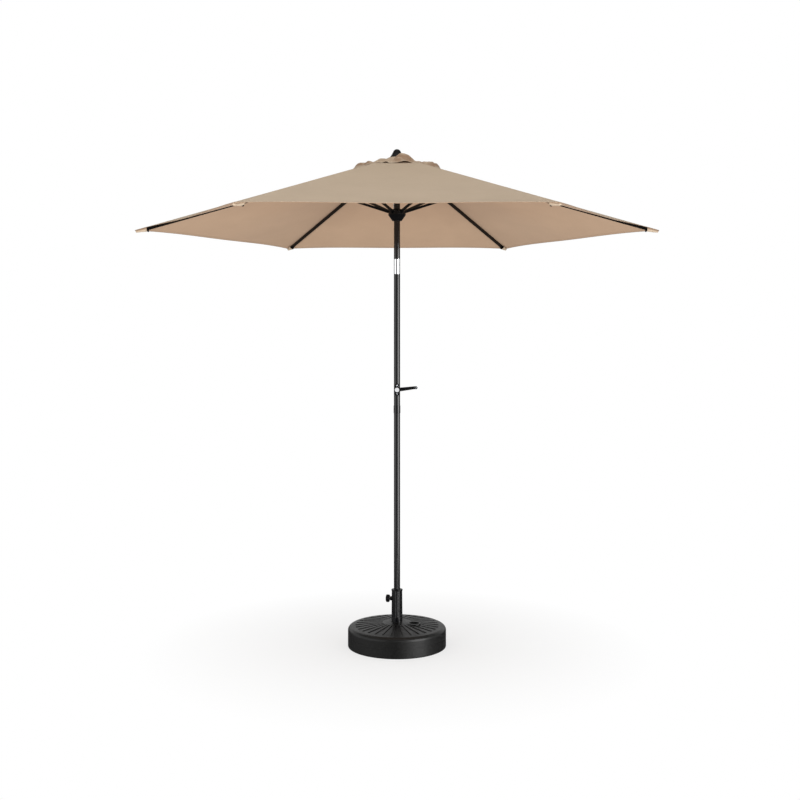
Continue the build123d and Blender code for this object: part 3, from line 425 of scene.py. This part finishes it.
paint = powder_coat()
black = moulded_plastic(
    "black_plastic",
    dark=(0.002, 0.002, 0.0022),
    light=(0.005, 0.005, 0.0055),
    rough=(0.26, 0.34),
    specular=0.2,
)
gloss = moulded_plastic(
    "glossy_plastic",
    dark=(0.003, 0.003, 0.0035),
    light=(0.005, 0.005, 0.0055),
    rough=(0.10, 0.14),
    specular=0.5,
    grain=0.000002,
)
charcoal = moulded_plastic(
    "charcoal_plastic",
    dark=(0.0040, 0.0040, 0.0039),
    light=(0.0065, 0.0064, 0.0062),
    rough=(0.36, 0.44),
    specular=0.35,
    grain=0.00005,
    grain_scale=500.0,
)
satin = moulded_plastic(
    "black_satin_coat",
    dark=(0.002, 0.002, 0.0022),
    light=(0.004, 0.004, 0.0044),
    rough=(0.34, 0.44),
    specular=0.15,
    grain=0.000004,
)
pale = moulded_plastic(
    "pale_plastic",
    dark=(0.55, 0.56, 0.58),
    light=(0.66, 0.67, 0.69),
    rough=(0.30, 0.42),
    specular=0.4,
    grain=0.00001,
)
chrome = plated_metal("chrome", colour=(0.88, 0.89, 0.90), rough=(0.07, 0.10))
zinc = plated_metal("zinc", colour=(0.60, 0.65, 0.72), rough=(0.22, 0.34))
dull_zinc = plated_metal("dull_zinc", colour=(0.82, 0.85, 0.90), rough=(0.50, 0.60))
cord_braid = braid()
# The cream colour is a painted highlight along the hem's folded edge. Brown is the thread on the under side and
# the pockets, and painted shade along their edges.
CREAM_HIGHLIGHT = (0.60, 0.51, 0.39)
TAN = (0.33, 0.255, 0.185)
BROWN = (0.27, 0.175, 0.115)
cloth_top = woven_cloth(
    "canopy_cloth_top",
    dark=(0.462, 0.362, 0.262),
    light=(0.530, 0.418, 0.304),
    inner=(0.480, 0.370, 0.260),
    thread=TAN,
    edge=CREAM_HIGHLIGHT,
)
# The under side is a shaded copy of the cloth: its pinker colour is painted light coming through the cloth, and
# its inner colour is painted shade towards the hub.
cloth_under = woven_cloth(
    "canopy_cloth_under_painted_light",
    dark=(0.528, 0.355, 0.233),
    light=(0.596, 0.403, 0.266),
    inner=(0.365, 0.222, 0.142),
    thread=BROWN,
    edge=BROWN,
)
cloth_cap = woven_cloth(
    "vent_cap_cloth",
    dark=(0.455, 0.345, 0.240),
    light=(0.530, 0.410, 0.290),
    inner=(0.490, 0.378, 0.265),
    thread=TAN,
    edge=CREAM_HIGHLIGHT,
    # painted shade on the cap's sharply sloping folds
    steep_shade=(0.350, 0.226, 0.146),
    slope=(0.97, 0.58),
)
cloth_pocket = woven_cloth(
    "corner_pocket_cloth",
    dark=(0.60, 0.47, 0.34),
    light=(0.70, 0.57, 0.43),
    inner=(0.64, 0.51, 0.38),
    thread=BROWN,
    edge=BROWN,
    # painted shade on the pockets' downward faces
    steep_shade=(0.36, 0.23, 0.145),
    slope=(-0.45, -0.85),
)

slot_material = {
    "base_plastic": charcoal,
    "black_plastic": black,
    "gloss_plastic": gloss,
    "black_paint": paint,
    "chrome": chrome,
    "zinc": zinc,
    "pale_plastic": pale,
    "cord": cord_braid,
    "canopy_cloth": cloth_top,
}
node_material = {"housing_screws": dull_zinc, "joint_collar": paint}
for subpart in frame["record"]["subparts"]:
    node_name, slot_name = subpart["node"], subpart["material_slot"]
    slim = node_name.startswith(("rib_", "strut_")) and slot_name == "black_paint"
    finish = satin if slim else slot_material[slot_name]
    mesh = nodes[node_name].data
    mesh.materials.clear()
    mesh.materials.append(node_material.get(node_name, finish))


# Mesh helpers

def polar(radius, angle, height):
    """A point at a distance from the upright axis."""
    return Vector((radius * math.cos(angle), radius * math.sin(angle), height))


def smooth_step(start, end, value):
    """0 at start, 1 at end, eased."""
    share = min(1.0, max(0.0, (value - start) / (end - start)))
    return share * share * (3 - 2 * share)


def spaced(count, power):
    """Places from -1 to 1, closer together in the middle for a power above 1."""
    steps = np.linspace(-1.0, 1.0, count)
    return [math.copysign(abs(s) ** power, s) for s in steps]


def new_piece(name, points, faces, materials, uvs=None, face_slots=None, smooth=True):
    """A mesh piece from points and faces, with one UV pair per point."""
    mesh = bpy.data.meshes.new(name)
    mesh.from_pydata(points, [], faces)
    for material in materials:
        mesh.materials.append(material)
    if face_slots is not None:
        mesh.polygons.foreach_set("material_index", face_slots)
    if uvs is not None:
        layer = mesh.uv_layers.new(name="UVMap")
        for loop in mesh.loops:
            layer.data[loop.index].uv = uvs[loop.vertex_index]
    mesh.polygons.foreach_set("use_smooth", [smooth] * len(mesh.polygons))
    mesh.update()
    piece = bpy.data.objects.new(name, mesh)
    bpy.context.scene.collection.objects.link(piece)
    return piece


def store_slope(piece, level=None):
    """Keep how far each corner's normal points up at rest, so that the shade painted by slope folds with the
    cloth.

    A level, if given, takes the place of the normals.
    """
    mesh = piece.data
    layer = mesh.uv_layers.new(name=REST_SLOPE)
    for index, corner in enumerate(mesh.corner_normals):
        layer.data[index].uv = (corner.vector.z if level is None else level, 0.0)


def grid_cells(rows, columns):
    """The four corners of each cell of a grid whose points are listed row by row."""
    for j in range(rows - 1):
        for k in range(columns - 1):
            a = j * columns + k
            yield a, a + 1, a + 1 + columns, a + columns


def grid_rim(rows, columns):
    """Pairs of neighbouring points all the way round the edge of such a grid."""
    rim = list(range(columns))
    rim += [j * columns + columns - 1 for j in range(1, rows)]
    rim += [(rows - 1) * columns + k for k in range(columns - 2, -1, -1)]
    rim += [j * columns for j in range(rows - 2, 0, -1)]
    return zip(rim, rim[1:] + rim[:1])


def double_sheet(name, grid, top, under, uvs, materials):
    """A thin closed sheet from two grids of points, listed row by row."""
    count = len(top)
    faces, slots = [], []
    for a, b, c, d in grid_cells(*grid):
        faces.append((a, d, c, b))
        slots.append(0)
        faces.append((a + count, b + count, c + count, d + count))
        slots.append(1)
    for a, b in grid_rim(*grid):
        faces.append((a, b, b + count, a + count))
        slots.append(1)
    return new_piece(name, top + under, faces, materials, uvs * 2, slots)


def face_corners(mesh):
    """Each corner's face, and a key that is the same for corners that meet on one side."""
    for polygon in mesh.polygons:
        for vertex in polygon.vertices:
            place = tuple(round(x, SEAM_DIGITS) for x in mesh.vertices[vertex].co)
            yield polygon, (place, polygon.material_index)


def match_seams(sheets):
    """Give points that meet on a cut the same normals, so that the cut doesn't show."""
    sums = {}
    for sheet in sheets:
        for polygon, key in face_corners(sheet.data):
            sums.setdefault(key, Vector())
            sums[key] += polygon.normal * polygon.area
    for sheet in sheets:
        normals = [sums[key].normalized() for _, key in face_corners(sheet.data)]
        sheet.data.normals_split_custom_set(normals)


def make_ring(name, profile, material):
    """A ring turned about the axis from a loop of (radius, height) pairs."""
    count = len(profile)
    points = [
        polar(radius, 2 * math.pi * k / RING_SIDES, height)
        for k in range(RING_SIDES)
        for radius, height in profile
    ]
    faces = []
    for k in range(RING_SIDES):
        here, beside = k * count, ((k + 1) % RING_SIDES) * count
        for j in range(count):
            after = (j + 1) % count
            faces.append((here + j, beside + j, beside + after, here + after))
    return new_piece(name, points, faces, [material], [(0.5, 0.5)] * len(points))


def make_tube(name, path, radius, material):
    """A closed tube along a list of points, with UV in turns and metres."""
    points, uvs, faces = [], [], []
    run = 0.0
    for j, here in enumerate(path):
        before, after = path[max(0, j - 1)], path[min(len(path) - 1, j + 1)]
        along = (after - before).normalized()
        side = along.cross(CORD_ACROSS).normalized()
        other = along.cross(side)
        run += (here - before).length
        for k in range(CORD_SIDES):
            sweep = 2 * math.pi * k / CORD_SIDES
            points.append(here + radius * (math.cos(sweep) * side + math.sin(sweep) * other))
            uvs.append((k / CORD_SIDES, run))
    for j in range(len(path) - 1):
        for k in range(CORD_SIDES):
            a, b = j * CORD_SIDES + k, j * CORD_SIDES + (k + 1) % CORD_SIDES
            faces.append((a, b, b + CORD_SIDES, a + CORD_SIDES))
    faces.append(tuple(range(CORD_SIDES - 1, -1, -1)))
    faces.append(tuple(range(len(points) - CORD_SIDES, len(points))))
    return new_piece(name, points, faces, [material], uvs)


# Canopy: one continuous sheet, cut midway between the ribs so that each part folds with its rib

def hem_radius(turn):
    """Distance of the hem from the axis, at an angle from the nearest rib."""
    middle = HALF_STEP - abs(turn)
    reach = math.sqrt(HEM_CIRCLE**2 - (HEM_ORBIT * math.sin(middle)) ** 2)
    return HEM_ORBIT * math.cos(middle) - reach


def canopy_top(radius, turn):
    """Height of the canopy's outer face."""
    across = radius * math.sin(abs(turn))
    eased = math.sqrt(across**2 + RIDGE_ROUND**2) - RIDGE_ROUND
    along = radius * math.cos(turn)
    plane = APEX - PANEL_FALL * (along * math.cos(HALF_STEP) + eased * math.sin(HALF_STEP))
    share = min(1.0, abs(turn) / HALF_STEP)
    out = (radius - VENT_RADIUS) / (hem_radius(turn) - VENT_RADIUS)
    dip = PANEL_SAG * math.sin(math.pi * min(1.0, max(0.0, out))) + HEM_SAG * max(0.0, out) ** 2
    return plane - dip * math.sin(share * math.pi / 2) ** 2


def make_gore(index):
    """The part of the canopy that folds with one rib, with its hem and its seam on the rib."""
    angle = RIB_ANGLES[index]
    rows = [1 - (1 - s) ** HEM_CROWDING for s in np.linspace(0.0, 1.0, GORE_GRID[0])]
    columns = spaced(GORE_GRID[1], RIB_CROWDING)
    top, under, uvs = [], [], []
    for out in rows:
        for c in columns:
            turn = c * HALF_STEP
            edge = hem_radius(turn)
            radius = VENT_RADIUS + (edge - VENT_RADIUS) * out
            from_hem = (edge - radius) * math.cos(HALF_STEP - abs(turn))
            across = radius * math.sin(turn)
            layer = HEM_LAYER * smooth_step(HEM_WIDTH + LAYER_EASE, HEM_WIDTH, from_hem)
            seam = SEAM_LAYER * smooth_step(SEAM_HALF + LAYER_EASE, SEAM_HALF, abs(across))
            lower = layer * min(1.0, abs(across) / HEM_GROWTH)
            height = canopy_top(radius, turn)
            top.append(polar(radius, angle + turn, height + max(layer, seam)))
            under.append(polar(radius, angle + turn, height - CLOTH - lower))
            uvs.append((across, from_hem))
    name = f"canopy_gore_{index + 1}"
    return double_sheet(name, GORE_GRID, top, under, uvs, [cloth_top, cloth_under])


gores = [make_gore(i) for i in range(RIBS)]
match_seams(gores)
for index, gore in enumerate(gores):
    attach(gore, f"rib_{index + 1}")
    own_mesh(gore)
    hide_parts("canopy")


# Vent cap: a loose small tent, sewn down at the ribs and puffed between them

def cap_edge(turn):
    """Distance of the cap's hem from the axis, at an angle from the nearest rib."""
    return CAP_RADIUS * math.cos(HALF_STEP) / math.cos(HALF_STEP - abs(turn))


def cap_swell(x, y):
    """Height of the cap's loose puffs over the straight run from the hub to its hem."""
    total = 0.0
    for at_x, at_y, degrees, left, right, front, back, height in CAP_PUFFS:
        cosine, sine = math.cos(math.radians(degrees)), math.sin(math.radians(degrees))
        across = (x - at_x) * cosine + (y - at_y) * sine
        along = (y - at_y) * cosine - (x - at_x) * sine
        away = math.hypot(
            across / (right if across > 0 else left), along / (back if along > 0 else front)
        )
        if away < 1:
            total += height * (1 - away**PUFF_FULLNESS) ** 2
    return total


def cap_top(index, radius, turn):
    """Height of the vent cap's outer face."""
    out = (radius - CAP_START) / (cap_edge(turn) - CAP_START)
    start = HUB_TOP + CLOTH + CAP_LIFT
    end = canopy_top(cap_edge(turn), turn) + CAP_REST
    where = polar(radius, RIB_ANGLES[index] + turn, 0)
    crease = sum(noise.noise(where * scale) * depth for scale, depth in CAP_CREASES)
    height = start + (end - start) * out + cap_swell(where.x, where.y)
    height += crease * smooth_step(*CREASE_SPAN, out)
    if radius > VENT_RADIUS:
        height = max(height, canopy_top(radius, turn) + CAP_REST)
    return height


def make_cap_gore(index):
    """The part of the vent cap that folds with one rib."""
    angle = RIB_ANGLES[index]
    rows = np.linspace(0.0, 1.0, CAP_GRID[0])
    columns = spaced(CAP_GRID[1], 1.0)
    top, under, uvs = [], [], []
    for out in rows:
        for c in columns:
            turn = c * HALF_STEP
            edge = cap_edge(turn)
            radius = CAP_START + (edge - CAP_START) * out
            point = polar(radius, angle + turn, cap_top(index, radius, turn))
            from_hem = (edge - radius) * math.cos(HALF_STEP - abs(turn))
            top.append(point)
            under.append(point - Vector((0, 0, CLOTH)))
            uvs.append((radius * math.sin(turn), from_hem))
    name = f"vent_cap_gore_{index + 1}"
    return double_sheet(name, CAP_GRID, top, under, uvs, [cloth_cap, cloth_under])


cap_gores = [make_cap_gore(i) for i in range(RIBS)]
match_seams(cap_gores)
for index, gore in enumerate(cap_gores):
    store_slope(gore)
    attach(gore, f"rib_{index + 1}")
    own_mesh(gore)
    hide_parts("vent_cap")


# Pockets at the canopy's corners, which take the ribs' ends

def make_pocket(index):
    """A sewn cup under one corner, open towards the axis, with an inner side."""
    angle = RIB_ANGLES[index]
    stations, ring = POCKET_GRID
    nose_start, nose_size = POCKET_NOSE
    points, uvs = [], []
    for inner in (0.0, POCKET_WALL):
        for j in range(stations):
            along = 1 - (1 - j / (stations - 1)) ** POCKET_CROWDING
            nose = math.sqrt(max(0.0, 1 - smooth_step(nose_start, 1.0, along)))
            nose = nose * (1 - nose_size) + nose_size
            wide, deep = (
                (mouth + (tip - mouth) * along) * nose - inner
                for mouth, tip in zip(POCKET_MOUTH, POCKET_TIP)
            )
            radius = TIP_RADIUS - POCKET_INSET - POCKET_LENGTH * (1 - along) - inner * along
            for k in range(ring):
                sweep = math.pi * k / (ring - 1)
                across = max(wide, POCKET_LEAST) * math.cos(sweep)
                turn = math.atan2(across, radius)
                length = math.hypot(radius, across)
                phase = WRINKLE_TURNS[0] * along + WRINKLE_TURNS[1] * k
                slack = WRINKLE * math.sin(phase) * nose
                drop = max(deep, POCKET_LEAST) * math.sin(sweep) ** POCKET_FULLNESS
                drop += slack * math.sin(sweep)
                height = canopy_top(length, turn) - POCKET_SEAT - drop
                points.append(polar(length, angle + turn, height))
                from_rim = deep * POCKET_GIRTH * min(k, ring - 1 - k) / (ring - 1)
                uvs.append((POCKET_LENGTH * along, from_rim))
    count = stations * ring
    faces = []
    for a, b, c, d in grid_cells(stations, ring):
        faces.append((a, b, c, d))
        faces.append((a + count, d + count, c + count, b + count))
    for a, b in grid_rim(stations, ring):
        faces.append((b, a, a + count, b + count))
    return new_piece(f"corner_pocket_{index + 1}", points, faces, [cloth_pocket], uvs)


for index in range(RIBS):
    pocket = make_pocket(index)
    store_slope(pocket)
    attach(pocket, f"rib_{index + 1}")


# The runner's skirt, which covers its open slots
runner_low, runner_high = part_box("runner")
skirt_loop = [(radius, runner_low.z + height) for radius, height in SKIRT_PROFILE]
skirt = make_ring("runner_skirt", skirt_loop, black)
skirt.data.set_sharp_from_angle(angle=math.radians(SKIRT_EDGE))
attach(skirt, "runner")

# The cap's crown, which lies on the hub under the finial
crown_loop = [(radius, HUB_TOP + height) for radius, height in CROWN_PROFILE]
crown = make_ring("cap_crown", crown_loop, cloth_cap)
store_slope(crown, 1.0)
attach(crown, "mast")
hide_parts("vent_cap")

# The cap's gathered throat: a ring under the cap that draws out over the folded ribs
throat_top = HUB_TOP - THROAT_DROP
throat_outer = [
    (THROAT_RADII[0] + (THROAT_RADII[1] - THROAT_RADII[0]) * s, throat_top - THROAT_DEPTH * s)
    for s in np.linspace(0.0, 1.0, THROAT_ROWS)
]
throat_inner = [(radius - CLOTH, height) for radius, height in reversed(throat_outer)]
throat = make_ring("cap_throat", throat_outer + throat_inner, cloth_cap)
store_slope(throat, 1.0)
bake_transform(throat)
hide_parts("vent_cap")

# The button's leaf spring, pressed flat by the button
spring = nodes["button_spring"]
leaf = new_piece(
    "button_leaf",
    [spring.matrix_world @ v.co for v in spring.data.vertices],
    [tuple(p.vertices) for p in spring.data.polygons],
    [zinc],
    smooth=False,
)
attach(leaf, "upper_pole")
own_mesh(leaf)
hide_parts("button_spring")

# Lift cord: up inside the mast, over the pulley, and down outside to the runner
cord_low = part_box("lift_cord_upper")[0]
cord_way = polar(1.0, math.radians(CORD_ANGLE), 0)
pulley = Vector(joints["pulley_turn"]["pos_m"])
cord_turn = (CORD_OUT - CORD_IN) / 2
inside_steps, pulley_steps, outside_steps = CORD_STEPS
inner_path = [
    cord_way * CORD_IN + Vector((0, 0, z)) for z in np.linspace(cord_low.z, pulley.z, inside_steps)
]
inner_path += [
    pulley + cord_turn * (-math.cos(s) * cord_way + math.sin(s) * Vector((0, 0, 1)))
    for s in np.linspace(0, math.pi, pulley_steps)[1:]
]
outer_path = [
    cord_way * CORD_OUT + Vector((0, 0, z))
    for z in np.linspace(pulley.z, runner_high.z - CORD_END, outside_steps)
]
inner_cord = make_tube("lift_cord_inner", inner_path, CORD_RADIUS, cord_braid)
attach(inner_cord, "mast")
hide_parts("lift_cord_upper")
outer_cord = make_tube("lift_cord_outer", outer_path, CORD_RADIUS, cord_braid)
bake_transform(outer_cord)
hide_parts("lift_cord_upper")


# Studio

def make_floor():
    """A pale floor that keeps the shadow near the base and runs into white further off."""
    rim = [polar(FLOOR_RADIUS, 2 * math.pi * k / FLOOR_SIDES, 0) for k in range(FLOOR_SIDES)]
    material, tree, shader = new_material("floor", Base_Color=FLOOR_COLOUR, Roughness=0.9)
    place = {0: object_coordinates(tree)}
    away = add_node(tree, "ShaderNodeVectorMath", place, operation="LENGTH").outputs["Value"]
    far = rescale(tree, away, *FLOOR_SPAN, *FLOOR_GLOW)
    white = add_node(tree, "ShaderNodeEmission", {"Strength": 1.0})
    path = add_node(tree, "ShaderNodeLightPath").outputs
    mirrored = calc(tree, "MAXIMUM", path["Is Glossy Ray"], path["Is Transmission Ray"])
    seen = calc(tree, "MAXIMUM", path["Is Camera Ray"], mirrored)
    share = calc(tree, "MULTIPLY", far, seen)
    shaders = {0: share, 1: shader.outputs[0], 2: white.outputs[0]}
    blend = add_node(tree, "ShaderNodeMixShader", shaders)
    tree.links.new(blend.outputs[0], tree.nodes["Material Output"].inputs["Surface"])
    floor = new_piece("floor", rim, [tuple(range(FLOOR_SIDES))], [material], smooth=False)
    floor.visible_glossy = False
    floor.visible_diffuse = False


def make_world():
    """A white studio. Reflections see its tall panels, with a dark gap on the camera's side."""
    world = bpy.data.worlds.new("studio")
    bpy.context.scene.world = world
    world.use_nodes = True
    world.cycles.sampling_method = "NONE"
    tree = world.node_tree
    sky = tree.nodes["Background"]
    sky.inputs["Color"].default_value = WHITE
    sky.inputs["Strength"].default_value = SKY
    generated = add_node(tree, "ShaderNodeTexCoord").outputs["Generated"]
    way = add_node(tree, "ShaderNodeSeparateXYZ", {0: generated}).outputs
    azimuth = calc(tree, "ARCTAN2", way[0], calc(tree, "MULTIPLY", way[1], -1.0))
    level = rescale(tree, way[2], *OVERHEAD, PANEL_REST, 1.0)
    turn_blur, slope_blur = PANEL_BLUR
    for first, last, low, high, strength in PANELS:
        lit = strength
        for value, start, end in (
            (azimuth, math.radians(first - turn_blur), math.radians(first + turn_blur)),
            (azimuth, math.radians(last + turn_blur), math.radians(last - turn_blur)),
            (way[2], low - slope_blur, low + slope_blur),
            (way[2], high + slope_blur, high - slope_blur),
        ):
            lit = calc(tree, "MULTIPLY", rescale(tree, value, start, end), lit)
        level = calc(tree, "MAXIMUM", level, lit)
    panels = add_node(tree, "ShaderNodeBackground", {"Color": WHITE, "Strength": level})
    white = add_node(tree, "ShaderNodeBackground", {"Color": WHITE, "Strength": 1.0})
    path = add_node(tree, "ShaderNodeLightPath").outputs
    mirrored = calc(tree, "MAXIMUM", path["Is Glossy Ray"], path["Is Transmission Ray"])
    shaders = {0: mirrored, 1: sky.outputs[0], 2: panels.outputs[0]}
    lights = add_node(tree, "ShaderNodeMixShader", shaders)
    shaders = {0: path["Is Camera Ray"], 1: lights.outputs[0], 2: white.outputs[0]}
    blend = add_node(tree, "ShaderNodeMixShader", shaders)
    tree.links.new(blend.outputs[0], tree.nodes["World Output"].inputs["Surface"])


def make_softbox(name, place, target, size, power):
    """A rectangular lamp turned to a target and left out of reflections."""
    light = bpy.data.lights.new(name, "AREA")
    light.shape = "RECTANGLE"
    light.size, light.size_y = size
    light.energy = power
    lamp = bpy.data.objects.new(name, light)
    lamp.location = place
    lamp.rotation_euler = (Vector(target) - Vector(place)).to_track_quat("-Z", "Y").to_euler()
    lamp.visible_glossy = False
    bpy.context.scene.collection.objects.link(lamp)


make_floor()
make_world()
for lamp_name, settings in SOFTBOXES.items():
    make_softbox(lamp_name, *settings)

camera_data = bpy.data.cameras.new("camera")
camera_data.sensor_width = SENSOR
camera_data.lens = FOCAL * SENSOR / IMAGE
camera_data.shift_x = (IMAGE / 2 - AXIS_COLUMN) / IMAGE
camera_data.shift_y = (HORIZON_ROW - IMAGE / 2) / IMAGE
camera = bpy.data.objects.new("camera", camera_data)
camera.location = (0, -CAMERA_DISTANCE, CAMERA_HEIGHT)
camera.rotation_euler = (math.pi / 2, 0, 0)
bpy.context.scene.collection.objects.link(camera)
bpy.context.scene.camera = camera
bpy.context.scene.view_settings.view_transform = "Standard"
